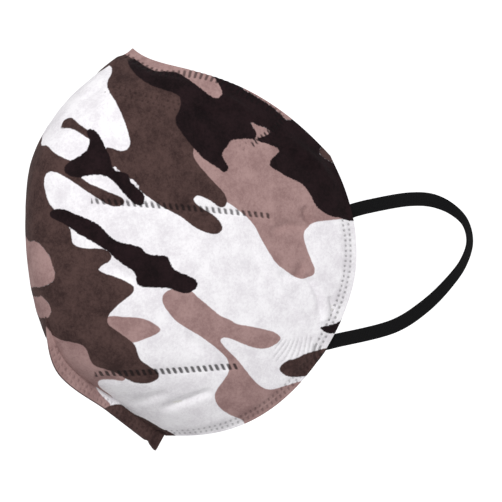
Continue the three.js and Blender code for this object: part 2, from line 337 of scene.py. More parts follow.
# %% [markdown]
# ## Relief: puffy cloth, pulled-in seams and creases
#
# Between its welds the web is soft and stands up, and at a weld it is squeezed flat. A mask that was folded
# flat in its packet also keeps a few creases. All of this is height added along the surface's normal, so it is
# real shape and not only shading. The large forms are shared by every layer, so the layers stay nested.


# %% Height of the middle surface and of the cover
def eased(x, low, high):
    """0 below the low value, 1 above the high one, and a smooth rise between them."""
    t = np.clip((x - low) / (high - low), 0, 1)
    return t * t * (3 - 2 * t)


def ridge(points, height, width):
    """A soft ridge along a line of the plan, or a furrow where the height is below zero, fading at its ends."""
    line = smooth_line(points)
    along, off = near_line(PLAN, line)
    length = runs(line)[-1]
    fade = np.sin(math.pi * np.clip(along / length, 0, 1)) ** 0.6
    return height * fade * np.exp(-((off / width) ** 2))


def waves(seed, count, longest, shortest, height):
    """A gentle unevenness made of a few waves across the plan, the same on each run."""
    random = np.random.default_rng(seed)
    total = np.zeros_like(ACROSS)
    for _ in range(count):
        length = random.uniform(shortest, longest)
        angle, phase = random.uniform(0, 2 * math.pi, 2)
        total += np.sin(2 * math.pi * (PLAN @ [math.cos(angle), math.sin(angle)]) / length + phase)
    return height * total / math.sqrt(count)


CREASES = {  # each a line on the plan, a height as a share of CREASE_DEPTH, and a width
    "left": [
        ([(7, -9), (10.5, -14), (12.2, -19), (13.2, -26)], -0.55, 1.3),
        ([(9.5, -12), (13, -18), (15.5, -26)], 0.35, 2.2),
        ([(16, -17), (17.2, -21), (17.8, -25)], -0.4, 1.0),
        ([(-15, 3), (-9, -7), (0, -18), (6, -27)], -0.28, 1.5),
        ([(-3, -8.5), (3, -9.5), (7, -3)], -0.3, 1.6),
        ([(6.5, 16), (7.4, 12.5), (10, 9)], -0.5, 1.3),
        ([(-6, 6), (0, 9), (7, 8)], -0.35, 1.6),
        ([(-46, -58), (-38, -55), (-27, -51)], -0.55, 1.4),
        ([(-57, -56), (-51, -54), (-43, -51.5)], -0.35, 1.6),
        ([(-72, -48), (-66, -46.5), (-60, -47)], -0.3, 1.3),
        ([(-74, 53), (-70, 57), (-66, 59)], -0.25, 1.2),
        ([(-70, -1), (-58, -9), (-44, -16)], -0.3, 2.4),
        ([(-40, -30), (-30, -36), (-22, -44)], -0.25, 2.4),
        ([(-36, 52), (-28, 50), (-20, 49)], -0.3, 1.5),
        ([(-27, 58), (-18, 53), (-11, 48)], 0.3, 1.6),
        ([(-35, 47), (-32, 42), (-29, 38)], -0.25, 1.4),
    ],
    "right": [
        ([(9, -6), (12.5, -13), (13.5, -22)], -0.5, 1.4),
        ([(4, -10), (9, -18), (11, -27)], 0.35, 2.0),
        ([(-48, -57), (-38, -53), (-30, -52)], -0.5, 1.5),
        ([(-30, 6), (-18, -2), (-8, -14)], -0.3, 1.8),
        ([(-64, 22), (-52, 27), (-44, 26)], -0.3, 1.6),
        ([(-70, -34), (-60, -30), (-50, -33)], -0.3, 1.6),
    ],
}
CREASE_DEPTH = 3.2
UPPER_BAND = [(-2, 41), (3, 38.6), (10.5, 33.2), (18, 26.2), (24.5, 17)]
BESIDE_UPPER_BAND = [(-4, 38), (2, 35), (11, 27.5)]
LOWER_BAND = [(-1.5, -42), (6, -40.2), (13.5, -37.8)]
puffed = eased(BORDER_GAP, 1.2, 7.5)


def large_forms(side):
    """Height that every layer of one half shares."""
    height = waves({"left": 3, "right": 8}[side], 9, 60, 24, 0.16)
    for points, depth, width in CREASES[side]:
        height = height + ridge(points, CREASE_DEPTH * depth, width)
    height += ridge(UPPER_BAND, 1.3, 2.2) + ridge(BESIDE_UPPER_BAND, -1.0, 1.5)
    height += ridge(LOWER_BAND, 0.5, 2.6)
    for points in (STIFFENER_TOP, STIFFENER_FOOT):
        height += ridge(points, -0.45, 2.6)
    height += ridge(CHANNEL_FOOT, -0.35, 1.9) + ridge(CHANNEL_END, -0.5, 1.8)
    near_fold = eased(MIDDLE[..., 0], 0.5, 9)
    return height * puffed * near_fold


WIRE_BELOW = 8
top_run, top_gap = EDGE["top"]
wire_bump = 0.45 * np.exp(-(((top_gap - WIRE_BELOW) / 2.6) ** 4)) * eased(-top_run, -56, -44)
comb_dip = ridge(NOSE_COMB, -0.5, 1.9)
fine_grain = waves(21, 14, 9, 3.5, 0.035)
forms = {side: large_forms(side) for side in ("left", "right")}
print("relief runs from", forms["left"].min().round(2), "to", forms["left"].max().round(2), "mm")

# %% [markdown]
# ## The printed camouflage
#
# The pattern is printed flat in three inks over white. It could be one image, but shapes drawn as outlines stay
# sharp at any distance and are easy to move. Each shape is a smooth closed line on the plan of the cheek. For
# every point of the net the script works out how far it lies inside or outside the shapes of each ink, and the
# material turns that distance into a crisp edge.
#
# Inks are laid in the order pink, brown, black. A later shape of a lighter ink cuts into the darker ones.

# %% Shapes of the left half
LEFT_PRINT = [
    ("pink", [
        (-62, 74), (-59.3, 70), (-56.4, 69), (-53, 67), (-49, 64.4), (-46, 63.5), (-42.5, 63.5),
        (-39.5, 63), (-36, 60.6), (-32.5, 58), (-29.5, 55.6), (-27, 54), (-24.6, 54), (-22, 57),
        (-23, 61.5), (-25, 65), (-26.5, 69), (-40, 75), (-56, 81),
    ]),
    ("pink", [
        (-35.6, 33.4), (-35.8, 38), (-31, 39.5), (-24, 41), (-14, 44), (-3, 42), (3, 34), (9, 26), (13, 18),
        (20, 13.6), (25, 12), (21, 11.4), (15, 10.8), (10.4, 10.1), (7.9, 8.5), (6.5, 6.4), (6.4, 4),
        (7.3, 0.8), (9, -3.5), (10.3, -7), (9.9, -9), (8, -10.1), (5.8, -10.6), (3.2, -9.8), (-0.4, -7.5),
        (-3.8, -4.9), (-6.4, -1), (-9.3, 4), (-12, 9), (-15, 12.4), (-19, 15.6), (-24, 19), (-30, 25),
        (-33.6, 30.6),
    ]),
    ("pink", [
        (-66.5, -25), (-63.5, -23.7), (-59, -24), (-54, -24.3), (-50.4, -25.2), (-47.4, -26.9),
        (-45.7, -28.7), (-47.2, -30.2), (-50.6, -31.6), (-54.5, -33), (-59, -33), (-64, -29),
    ]),
    ("pink", [
        (-44.6, -16), (-41.6, -14), (-35.6, -14.2), (-32.6, -16.8), (-29.6, -19.3), (-26.8, -21.7),
        (-24, -23.9), (-20.8, -25.3), (-18, -26.9), (-13.6, -27.7), (-9, -28.7), (-5.3, -29.7), (-3, -31),
        (-2.2, -32.4), (-3.4, -34), (-6, -35.4), (-9, -36), (-12.4, -35.4), (-16.4, -33.9), (-20.2, -32.3),
        (-23, -31.8), (-24.2, -32.6), (-23, -34.7), (-20.4, -37.4), (-17.6, -40.3), (-15, -43.6),
        (-12.3, -47), (-9.6, -49.6), (-7, -50.9), (-4, -50.9), (-1, -50.2), (2.4, -49.5), (6.4, -48.6),
        (12, -50), (2, -62), (-12, -68), (-14.4, -64.9), (-15.8, -62.8), (-18.4, -61.1), (-21.2, -59.6),
        (-24, -57.5), (-25.7, -55), (-26.1, -52.5), (-25, -50), (-23, -47.3), (-21.3, -44.6), (-21, -42),
        (-21.7, -39.5), (-24, -37), (-27.2, -34.3), (-31.4, -31.2), (-36.2, -28.3), (-40.2, -25.5),
        (-43, -22.2), (-45, -18.8),
    ]),
    ("pink", [
        (-96, -28), (-86, -26), (-76, -30), (-68, -36), (-64, -41), (-58.4, -45), (-58.6, -46.6),
        (-63.6, -47), (-68, -47.2), (-69.7, -48.4), (-69.6, -50.6), (-68.4, -52.7), (-66.4, -55),
        (-64.4, -57.4), (-66, -60.5), (-76, -60), (-86, -50), (-95, -38),
    ]),
    ("brown", [
        (-98, 43), (-91, 40.2), (-87, 37.4), (-82, 34), (-78, 32.1), (-72, 31), (-70, 28), (-74, 26.6),
        (-71, 24), (-68, 22.7), (-64, 20.9), (-61, 19.7), (-58.8, 18.3), (-58.6, 16.9), (-60.5, 15.8),
        (-63.5, 16), (-67, 18), (-71, 20.6), (-75, 23.4), (-79, 26), (-82, 27.6), (-84.5, 28),
        (-86.3, 26.8), (-86.8, 24.5), (-86, 20.5), (-84.8, 17), (-83, 14.6), (-80, 10.8), (-77.8, 8),
        (-77.2, 5), (-76.6, 2.3), (-74, 0.9), (-70, 0.6), (-66, 0.4), (-63.8, -0.6), (-63, -2.4),
        (-64, -4.2), (-66.5, -5.6), (-67.7, -6.8), (-66.3, -8), (-62, -9.5), (-58, -11.3), (-55.2, -13.2),
        (-55.6, -15.3), (-58.5, -17.8), (-62, -20.8), (-64.4, -24), (-64.4, -26.4), (-62, -28.5),
        (-58, -31.4), (-55, -34), (-54, -36.8), (-53, -39.2), (-50, -41.6), (-47.2, -43.8), (-46.2, -45.5),
        (-47.6, -47), (-51, -47.9), (-55, -47.6), (-58.5, -46), (-62, -44), (-66, -42.5), (-69.4, -41.2),
        (-70.9, -38.8), (-71.8, -36), (-73.6, -34), (-77, -33), (-82, -32), (-86, -29.6), (-88.4, -26.5),
        (-93, -25), (-101, -10),
    ]),
    ("brown", [
        (-64.6, 68.4), (-63.5, 66), (-63.5, 63.6), (-64.6, 61), (-64.7, 58.8), (-63.6, 56.4), (-61.4, 52.8),
        (-59.6, 49), (-58, 44.8), (-56.8, 40.6), (-56.5, 37.8), (-57.8, 36), (-60, 35.6), (-62.4, 36.4),
        (-65, 36.6), (-66, 33), (-63.4, 30), (-60.4, 28), (-57.4, 26.4), (-54.8, 23.6), (-52, 20.6),
        (-49, 18.4), (-45.5, 16), (-41.5, 13.8), (-38, 11.8), (-34.5, 9), (-31, 7), (-27.6, 5.9), (-25, 6),
        (-23.5, 7.6), (-24.2, 10), (-26.6, 12.7), (-30, 14.8), (-32.8, 16.8), (-33.8, 18.4), (-32.6, 19.7),
        (-30.4, 19.2), (-27, 17.4), (-24.4, 15.6), (-22.6, 15.8), (-21.8, 17.8), (-22.8, 20.6),
        (-25.6, 23.7), (-29, 27.4), (-31.8, 30.6), (-34, 34.4), (-33.6, 38), (-33, 44), (-33, 52),
        (-40, 60), (-50, 64.5), (-57, 70.7), (-60.5, 72),
    ]),
    ("brown", [
        (-82.2, 42.6), (-82.5, 45.6), (-82, 47.8), (-81, 49), (-79, 48.8), (-77, 47.3), (-74.5, 45),
        (-72, 43.2), (-69, 41), (-69, 38.6), (-71.5, 40), (-74, 41.6), (-76.5, 43), (-79, 43.5),
        (-81.5, 42.6),
    ]),
    ("brown", [
        (-67, -58.8), (-64, -57.4), (-61, -57.2), (-58, -58), (-55, -59.6), (-51.5, -61.8), (-48, -64.4),
        (-44.5, -66.8), (-41.5, -68.8), (-38.4, -70.4), (-34, -72.5), (-46, -79), (-58, -76), (-72, -62),
    ]),
    ("brown", [
        (-2.5, -43.6), (-1.6, -41.8), (0.5, -40.4), (3.5, -39.6), (6, -38.4), (8.5, -37.6), (11.5, -37.2),
        (16, -36.6), (15, -42), (11, -46), (8.5, -46.5), (5.5, -46.9), (2, -46.6), (-0.8, -45.6),
    ]),
    ("pink", [
        (-96, 6), (-93, 4.4), (-90, 3), (-87, 0.5), (-84.8, -2.4), (-83.8, -5.5), (-83, -8.5),
        (-83.3, -10.6), (-85, -12), (-88, -13), (-91, -13.9), (-98, -14.5), (-101, -4),
    ]),
    ("pink", [
        (-96, -15.6), (-90, -15.5), (-88.6, -16.6), (-87, -18.2), (-85.3, -20.2), (-85, -22),
        (-86.5, -23.8), (-89, -25), (-96, -25.5),
    ]),
    ("black", [
        (-57.4, 69), (-56.3, 70.5), (-54.5, 69.5), (-52, 67.6), (-49.5, 66), (-47, 65), (-43, 65.1),
        (-39.5, 64.8), (-36.4, 62.7), (-33, 59.9), (-30, 57.4), (-27.5, 55.5), (-24.9, 55.2), (-23.5, 57.2),
        (-24.4, 60.6), (-26.2, 63.4), (-28.5, 67), (-14, 64), (0, 56), (14, 46), (24, 30), (30, 12),
        (25, 10.7), (20, 11.7), (15.5, 12.7), (12.5, 14.5), (10.3, 17), (8.8, 20), (6.6, 23.2), (4, 25.1),
        (0, 26.9), (-3.5, 29), (-5.6, 30.2), (-6.3, 31.4), (-5.6, 33.2), (-4, 34.8), (-2.8, 36.2),
        (-3.6, 37.4), (-6, 38.3), (-9, 39.4), (-13, 40.5), (-17, 40.4), (-20.2, 39.9), (-21.6, 38),
        (-23.3, 35.7), (-23.5, 34.3), (-22.4, 32), (-21.3, 29.6), (-22.9, 28.2), (-24.4, 29.4), (-27, 31),
        (-30, 33), (-33, 36), (-36, 39.4), (-38.5, 42.8), (-40.2, 45.8), (-40.3, 47.8), (-39, 50.3),
        (-38.4, 53), (-38.7, 55), (-40.5, 56.4), (-44.5, 57.7), (-48.5, 59), (-52, 61), (-55, 63.6),
        (-56.8, 66.2),
    ]),
    ("black", [
        (-71.8, 42), (-71, 43.1), (-69.6, 43), (-68, 41.8), (-66.5, 39.4), (-65.3, 36.8), (-64, 34.4),
        (-63.2, 31.6), (-62.6, 29.6), (-61, 28.3), (-58.6, 27.9), (-57, 26.9), (-56.2, 24.8), (-54.4, 22.8),
        (-52.2, 21), (-51.4, 19), (-51.7, 16.8), (-53, 16), (-55, 16.8), (-57, 18.6), (-59.2, 21),
        (-61.4, 23.6), (-63.4, 25.6), (-65.6, 26.7), (-68.5, 27), (-71.5, 26.7), (-75, 26), (-77.5, 26.6),
        (-79.4, 28), (-79.6, 29.4), (-78, 31.3), (-75.3, 33), (-72.4, 35), (-71, 37.2), (-70.9, 39.6),
    ]),
    ("black", [
        (-84.8, 13), (-84, 14.3), (-81.8, 14.9), (-79, 14.5), (-75.5, 12.8), (-71, 11), (-67.5, 9),
        (-65, 6.5), (-62.5, 4), (-59, 2.6), (-55.5, 1.8), (-52.4, 0.8), (-51, -1), (-48.5, -1.8), (-45, -2),
        (-43, -2.6), (-42.3, -4.6), (-41, -6.8), (-38.5, -8.2), (-35.5, -9.4), (-33, -11), (-32.3, -12.4),
        (-33.3, -14), (-35.5, -15.4), (-38, -15.5), (-40.4, -14.6), (-43.5, -13.7), (-48, -13.6),
        (-52, -13.3), (-54, -12.2), (-54.3, -9.6), (-55.4, -7.6), (-58.6, -5.5), (-62, -2.8), (-64.3, -0.6),
        (-67.3, 1.4), (-71, 3.8), (-74.5, 5.6), (-77.6, 8), (-81, 10.2), (-84, 11.6),
    ]),
    ("black", [
        (12.5, -28.7), (14, -28.1), (17, -27.6), (20, -26.6), (21.5, -24.8), (22.7, -22.4), (24.4, -20.2),
        (29, -19), (28, -26), (22.5, -30.6), (20, -30.8), (16.5, -30.9), (14, -30),
    ]),
    ("brown", [
        (12.6, 36), (13.2, 37.8), (14.8, 38.6), (18, 39), (21.5, 34.5), (19.5, 31.8), (17.4, 32.5),
        (15.4, 33.4), (13.6, 34.6),
    ]),
    ("pink", [
        (-13.1, 46.8), (-11.4, 45.8), (-9, 45), (-7, 44.2), (-5.8, 43.2), (-6.8, 42.2), (-9, 41.4),
        (-11.6, 40.4), (-11, 42.4), (-12.2, 44.4),
    ]),
    ("pink", [
        (-15.5, 59.4), (-12, 57.1), (-8.5, 55), (-4.5, 52.5), (-1.8, 50), (0.6, 48), (2.4, 48.3),
        (3.2, 50.6), (-4, 57), (-12, 61),
    ]),
    ("white", [(-62.7, 29.8), (-61.7, 28.8), (-60, 28.2), (-60.9, 29.1), (-62, 30)]),
    ("white", [(-56.7, 25.6), (-55.7, 23.9), (-53.3, 22.9), (-54.5, 24.4), (-55.8, 25.6)]),
]
print(len(LEFT_PRINT), "printed shapes on the left half")

# %% [markdown]
# The right half continues the same web past the fold. Near the fold it has shapes of its own that meet the left
# ones there. Further off it repeats the left half's pattern turned half round, as a printed web does repeat.

# %% Shapes of the right half, near the fold
RIGHT_PRINT = [
    ("pink", [
        (-62, 73), (-58, 71.3), (-52, 70), (-46, 66), (-40, 61), (-34, 61), (-30, 65), (-40, 74), (-56, 80),
    ]),
    ("pink", [
        (-98, -26), (-88, -26), (-80, -32), (-72, -33), (-60, -40), (-56, -48), (-58, -54), (-61, -57),
        (-66, -61), (-80, -60), (-98, -50),
    ]),
    ("brown", [
        (-98, 44), (-90, 38.6), (-85, 38), (-80, 40.5), (-74, 43), (-68, 40), (-66, 33), (-70, 26),
        (-66, 18), (-70, 10), (-66, 2), (-60, -4), (-58, -12), (-54, -20), (-56, -28), (-64, -32),
        (-76, -32), (-84, -30), (-88.4, -26.5), (-93, -25), (-101, -10),
    ]),
    ("pink", [
        (-96, 6), (-93, 4.4), (-89, 3.4), (-84, 5), (-79, 3.4), (-74, 5.4), (-69, 3), (-71, -2),
        (-76, -4.6), (-77, -10), (-82, -13.4), (-87, -13.2), (-91, -13.9), (-98, -14.5), (-101, -4),
    ]),
    ("pink", [
        (-98, -15), (-90, -15.2), (-84, -16.6), (-79, -16), (-77, -19), (-81, -23.6), (-86, -25.6),
        (-98, -26),
    ]),
    ("brown", [
        (-64.6, 68.4), (-62, 65), (-57, 64), (-52, 58), (-50, 51), (-44, 47), (-38, 50), (-36, 58),
        (-42, 63), (-50, 67), (-57, 70.7), (-60.5, 72),
    ]),
    ("brown", [
        (-67, -58.8), (-61, -56.5), (-54, -60), (-46, -60), (-40, -64), (-38, -72), (-46, -79), (-58, -76),
        (-72, -62),
    ]),
]
print(len(RIGHT_PRINT), "printed shapes near the fold of the right half")


# %% [markdown]
# ## From outlines to distances
#
# A point is inside an outline if the outline goes round it. Its distance is to the nearest stretch of the line.

# %% Ink distances
INKS = ("pink", "brown", "black")
FAR = 6.0


def distance_inside(places, outline):
    """Distance to a closed outline, below zero inside it, and FAR well outside it."""
    line = smooth_line(outline, steps=4, closed=True)
    distance = np.full(places.shape[:-1], FAR)
    close = np.all((places > line.min(0) - FAR) & (places < line.max(0) + FAR), axis=-1)
    here = places[close]
    best, inside = np.full(len(here), 1e9), np.zeros(len(here), bool)
    for start, end in zip(line[:-1], line[1:]):
        piece = end - start
        size = piece @ piece
        if size < 1e-12:
            continue
        away = here - start
        share = np.clip(away @ piece / size, 0, 1)
        best = np.minimum(best, ((away - share[:, None] * piece) ** 2).sum(1))
        crosses = (start[1] > here[:, 1]) != (end[1] > here[:, 1])
        if piece[1] != 0:
            inside ^= crosses & (here[:, 0] < start[0] + piece[0] * (here[:, 1] - start[1]) / piece[1])
    distance[close] = np.where(inside, -1, 1) * np.minimum(np.sqrt(best), FAR)
    return distance


TRAP = 0.2  # a light ink reaches this far under a darker neighbour, so no white shows between them


def ink_distances(shapes, places=PLAN):
    """Each ink's distance at the places, once every shape has covered or cut the ones before it."""
    distances = {ink: np.full(places.shape[:-1], FAR) for ink in INKS}
    for ink, outline in shapes:
        found = distance_inside(places, outline)
        rank = INKS.index(ink) if ink in INKS else -1
        darker = INKS[rank + 1:]
        cuts = any((distances[other] < 0).any() for other in darker)
        for other in darker:
            distances[other] = np.maximum(distances[other], -found)
        if ink in INKS:
            distances[ink] = np.minimum(distances[ink], found - TRAP * cuts)
    return distances


def mixed(first, second, share):
    """Two sets of ink distances, blended from the first to the second."""
    return {ink: first[ink] * (1 - share) + second[ink] * share for ink in INKS}


TURN_ABOUT = np.array([-32, 0])
MEET_WITHIN = 6  # both halves' prints meet this near the fold
TURNED_BEYOND = (14, 30)  # the right half's own shapes give way to the turned pattern over this stretch
print_left = ink_distances(LEFT_PRINT)
turned = ink_distances(LEFT_PRINT, 2 * TURN_ABOUT - PLAN)
print_right = mixed(ink_distances(RIGHT_PRINT), turned, eased(MIDDLE[..., 0], *TURNED_BEYOND))
beyond = 0.5 * eased(-MIDDLE[..., 0], -MEET_WITHIN, 0)
INK = {"left": mixed(print_left, print_right, beyond), "right": mixed(print_right, print_left, beyond)}
for ink in INKS:
    print(ink, f"covers {100 * (INK['left'][ink] < 0).mean():.0f}% of the net before later inks")

# %% [markdown]
# ## Turning a net into a closed sheet
#
# Real cloth has two sides and an edge, so each layer is a closed mesh and not a bare surface. The side that
# shows its welds keeps every point of the net. The other side may use every second row and column, and then the
# faces round the rim take one more corner each. The right half is the left one mirrored, with its faces turned.

# %% Sheets and pieces
MIRROR = {"left": np.array([1, 1, 1]), "right": np.array([-1, 1, 1])}


def sheet_faces(outer_shape, inner_shape):
    """Faces of a closed sheet whose inner net has the same rows and columns as the outer one, or fewer."""
    o = np.arange(np.prod(outer_shape)).reshape(outer_shape)
    n = o.size + np.arange(np.prod(inner_shape)).reshape(inner_shape)
    faces = np.stack([o[:-1, :-1], o[1:, :-1], o[1:, 1:], o[:-1, 1:]], -1).reshape(-1, 4).tolist()
    faces += np.stack([n[:-1, :-1], n[:-1, 1:], n[1:, 1:], n[1:, :-1]], -1).reshape(-1, 4).tolist()
    down, across = ((a - 1) // (b - 1) for a, b in zip(outer_shape, inner_shape))
    for i in range(inner_shape[1] - 1):
        part = slice(i * across, (i + 1) * across + 1)
        faces.append(o[0, part].tolist() + [n[0, i + 1], n[0, i]])
        faces.append(o[-1, part][::-1].tolist() + [n[-1, i], n[-1, i + 1]])
    for j in range(inner_shape[0] - 1):
        part = slice(j * down, (j + 1) * down + 1)
        faces.append(o[part, 0][::-1].tolist() + [n[j, 0], n[j + 1, 0]])
        faces.append(o[part, -1].tolist() + [n[j + 1, -1], n[j, -1]])
    return faces


def make_piece(name, points, faces, side="left", sharp=50, **attributes):
    """A smooth mesh object from points in millimetres, with float attributes for its material to read."""
    mesh = bpy.data.meshes.new(name)
    flat = points.reshape(-1, 3) * MIRROR[side] * MM
    if side == "right":
        faces = [face[::-1] for face in faces]
    mesh.from_pydata(flat.tolist(), [], [[int(k) for k in face] for face in faces])
    mesh.shade_smooth()
    mesh.set_sharp_from_angle(angle=math.radians(sharp))
    for label, values in attributes.items():
        layer = mesh.attributes.new(label, "FLOAT", "POINT")
        layer.data.foreach_set("value", np.asarray(values, np.float32).ravel())
    piece = bpy.data.objects.new(name, mesh)
    bpy.context.scene.collection.objects.link(piece)
    return piece


def kept_right_of_plane(points):
    """Points pulled back to the left half's side of the mirror plane, with the fold column exactly on it."""
    points = points.copy()
    points[..., 0] = np.maximum(points[..., 0], 0)
    points[:, 0, 0] = 0
    return points


# %% [markdown]
# ## The outer cover
#
# The printed cover is a thin spunbond web, pressed down to the lining at its border and lifted by the cotton
# everywhere else. Its weld marks are pressed only from outside, so its hidden side stays plain and coarse.

# %% Outer cover
EVERY_SECOND = np.s_[::2, ::2]
COVER_PRESS, LINER_PRESS = 0.3, 0.2
LIFT = LAYERS["cover"][0] - BORDER["cover"][0]
covers = {}
for side in ("left", "right"):
    shape = forms[side] + LIFT * puffed + (wire_bump + comb_dip) * puffed
    outside = BORDER["cover"][0] + shape + fine_grain * puffed - COVER_PRESS * weld
    inside = BORDER["cover"][1] + shape
    outer = kept_right_of_plane(MIDDLE + NORMAL * outside[..., None])
    inner = kept_right_of_plane(MIDDLE + NORMAL * inside[..., None])[EVERY_SECOND]
    hidden_side = inner[..., 0].size
    both = {ink: np.concatenate([INK[side][ink].ravel(), np.full(hidden_side, FAR)]) for ink in INKS}
    # The weld darkening goes to the material: partly melted web, partly painted shade in the dents.
    both["scorch"] = np.concatenate([scorch.ravel(), np.zeros(hidden_side)])
    points = np.concatenate([outer.reshape(-1, 3), inner.reshape(-1, 3)])
    faces = sheet_faces(outer.shape[:2], inner.shape[:2])
    covers[side] = make_piece(f"cover_{side}", points, faces, side, **both)
    print(covers[side].name, len(points), "points")

# %% [markdown]
# ## The soft lining
#
# Inside is a plain white web that touches the face. It sees the same welds, shallower, from its own side.

# %% Inner liner
SINK = BORDER["liner"][0] - LAYERS["liner"][0]
liners = {}
for side in ("left", "right"):
    shape = forms[side] - SINK * puffed
    outer = kept_right_of_plane(MIDDLE + NORMAL * (BORDER["liner"][0] + shape)[..., None])[EVERY_SECOND]
    inner = kept_right_of_plane(MIDDLE + NORMAL * (BORDER["liner"][1] + shape + LINER_PRESS * weld)[..., None])
    # The lining's weld darkening, partly painted shade in its dents.
    marks = np.concatenate([scorch.ravel(), np.zeros(outer[..., 0].size)])
    points = np.concatenate([inner.reshape(-1, 3), outer.reshape(-1, 3)])
    faces = [face[::-1] for face in sheet_faces(inner.shape[:2], outer.shape[:2])]
    liners[side] = make_piece(f"liner_{side}", points, faces, side, scorch=marks)
    print(liners[side].name, len(points), "points")

# %% [markdown]
# ## The hidden layers
#
# A bulky cotton layer gives the cup its body, and two melt-blown filters lie under it. They stop short of the
# welded border, and the cotton is cut away under the nose-wire channel. They never show at rest, but they are
# part of the object, so each is its own sheet with its own finish, at a coarser mesh.

# %% Cotton and filters
HIDDEN_STEPS = (44, 56)


def sample(field, across, down):
    """A field of the fine net read at other places of the half."""
    i, j = np.interp(across, columns, np.arange(len(columns))), np.interp(down, rows, np.arange(len(rows)))
    i0, j0 = np.minimum(i.astype(int), len(columns) - 2), np.minimum(j.astype(int), len(rows) - 2)
    u, v = i - i0, j - j0
    top = field[j0, i0] * (1 - u) + field[j0, i0 + 1] * u
    return top * (1 - v) + (field[j0 + 1, i0] * (1 - u) + field[j0 + 1, i0 + 1] * u) * v


coarse = np.linspace(0, 1, 60)
row_lengths = np.array([runs(surface(coarse, np.full(60, down)))[-1] for down in coarse])
column_lengths = np.array([runs(surface(np.full(60, across), coarse))[-1] for across in coarse])


def inner_net(first):
    """Places of a layer that starts `first` millimetres below the top edge and a hem away from the others."""
    u, v = np.meshgrid(np.linspace(0, 1, HIDDEN_STEPS[1] + 1), np.linspace(0, 1, HIDDEN_STEPS[0] + 1))
    across = u * (1 - HEM / np.interp(v, coarse, row_lengths))
    high = np.interp(across, coarse, column_lengths)
    down = first / high + (1 - (first + HEM) / high) * v
    return u * (1 - HEM / np.interp(down, coarse, row_lengths)), down


hidden = {}
for name, first in (("cotton", CHANNEL), ("filter_1", HEM), ("filter_2", HEM)):
    across, down = inner_net(first)
    middle, normal = surface(across, down), outward(across, down)
    for side in ("left", "right"):
        shape, lift = sample(forms[side], across, down), sample(puffed, across, down)
        outer, inner = (kept_right_of_plane(middle + normal * (shape + lift * height)[..., None])
                        for height in LAYERS[name])
        points = np.concatenate([outer.reshape(-1, 3), inner.reshape(-1, 3)])
        faces = sheet_faces(outer.shape[:2], inner.shape[:2])
        hidden[name, side] = make_piece(f"{name}_{side}", points, faces, side)
print("hidden layers:", ", ".join(piece.name for piece in hidden.values()))

# %% [markdown]
# ## Strips with a section
#
# The nose wire and the ear bands are both long strips. Each is a section of points swept along a route, with a
# direction at every station that says which way its face looks.

# %% Sweep a section along a route
def sweep(route, facing, section, press=None):
    """Points and faces of a closed strip. The section is given as (across, out) pairs, going round once."""
    run = np.gradient(route, axis=0)
    run /= np.linalg.norm(run, axis=1, keepdims=True)
    out = facing - (facing * run).sum(1, keepdims=True) * run
    out /= np.linalg.norm(out, axis=1, keepdims=True)
    sideways = np.cross(out, run)
    across, height = section[:, 0], np.tile(section[:, 1], (len(route), 1))
    if press is not None:
        height = height + press
    points = route[:, None] + sideways[:, None] * across[:, None] + out[:, None] * height[..., None]
    count = len(section)
    k = np.arange(len(route) * count).reshape(len(route), count)
    turned = np.roll(k, -1, axis=1)
    faces = np.stack([k[:-1], turned[:-1], turned[1:], k[1:]], -1).reshape(-1, 4).tolist()
    return points, faces + [k[0][::-1].tolist(), k[-1].tolist()]


def evenly(points, count):
    """The same number of values at even steps along a line of points."""
    places = runs(points)
    wanted = np.linspace(0, places[-1], count)
    return np.stack([np.interp(wanted, places, points[:, k]) for k in range(points.shape[1])], axis=1)


# %% [markdown]
# ## The nose wire
#
# The wire in such a mask is a flat plastic strip with a steel core in each edge: two round ribs and a thin web.

# %% Nose wire
WIRE_HALF, WIRE_START = 48, 1.5
RIB_AT, RIB_RADIUS = 1.6, 0.4
rib_arc = np.radians(np.arange(40, 321, 35))
WIRE_SECTION = np.array(
    [(-RIB_AT + RIB_RADIUS * math.cos(a), RIB_RADIUS * math.sin(a)) for a in rib_arc]
    + [(RIB_AT - RIB_RADIUS * math.cos(a), -RIB_RADIUS * math.sin(a)) for a in rib_arc])
WITHIN = 0.75  # share of the half's width that holds the whole wire
across = np.linspace(0, WITHIN, 160)
down = WIRE_BELOW / np.interp(across, coarse, column_lengths)
middle = sum(LAYERS["cotton"]) / 2
wires = {}
for side in ("left", "right"):
    height = middle + sample(forms[side], across, down)
    route = surface(across, down) + outward(across, down) * height[:, None]
    places = runs(route)
    keep = (places > WIRE_START) & (places < WIRE_START + WIRE_HALF)
    points, faces = sweep(route[keep], outward(across, down)[keep], WIRE_SECTION)
    wires[side] = make_piece(f"bridge_wire_{side}", points, faces, side, sharp=60)
print(f"each half of the wire is {places[keep][-1] - places[keep][0]:.0f} mm long")

# %% [markdown]
# ## The chin seam
#
# Below the mouth the two halves are welded together and trimmed, which leaves a narrow fin in the mirror plane.
# Two rows of short marks hold it, and its cut edge is sealed thin and dark.

# %% Chin seam
SEAM_FROM, SEAM_TO, FIN, FIN_THICK = 0.6, 0.995, 5, 0.8
share = np.linspace(SEAM_FROM, SEAM_TO, 150)
fold = surface(np.zeros_like(share), share)
run = np.gradient(fold, axis=0)
run /= np.linalg.norm(run, axis=1, keepdims=True)
away = np.stack([0 * share, run[:, 2], -run[:, 1]], axis=1)
fin_run = runs(fold)
past_end = fin_run - fin_run[-1]
GROWS_OVER = 24  # the fin rises slowly out of the fold over this length
grown = eased(fin_run, 0, GROWS_OVER)
root = 0.3 + 1.35 * eased(fin_run[-1] - fin_run, 1.2, 7.5)
worn = 0.5 * np.exp(-(((past_end + 5) / 0.9) ** 2)) + 0.2 * eased(past_end, -0.8, 0)
longer = 0.9 * eased(past_end, -5, 0)
tucked = 0.25 * eased(-fin_run, -9, 0)
tip = root + (LAYERS["cover"][0] + 0.3 + FIN - root) * grown + longer - worn - tucked
levels = np.linspace(0, 1, 20)
distance = root[:, None] + (tip - root)[:, None] * levels
along = fin_run[:, None] + 0 * distance
marks = np.zeros_like(distance)
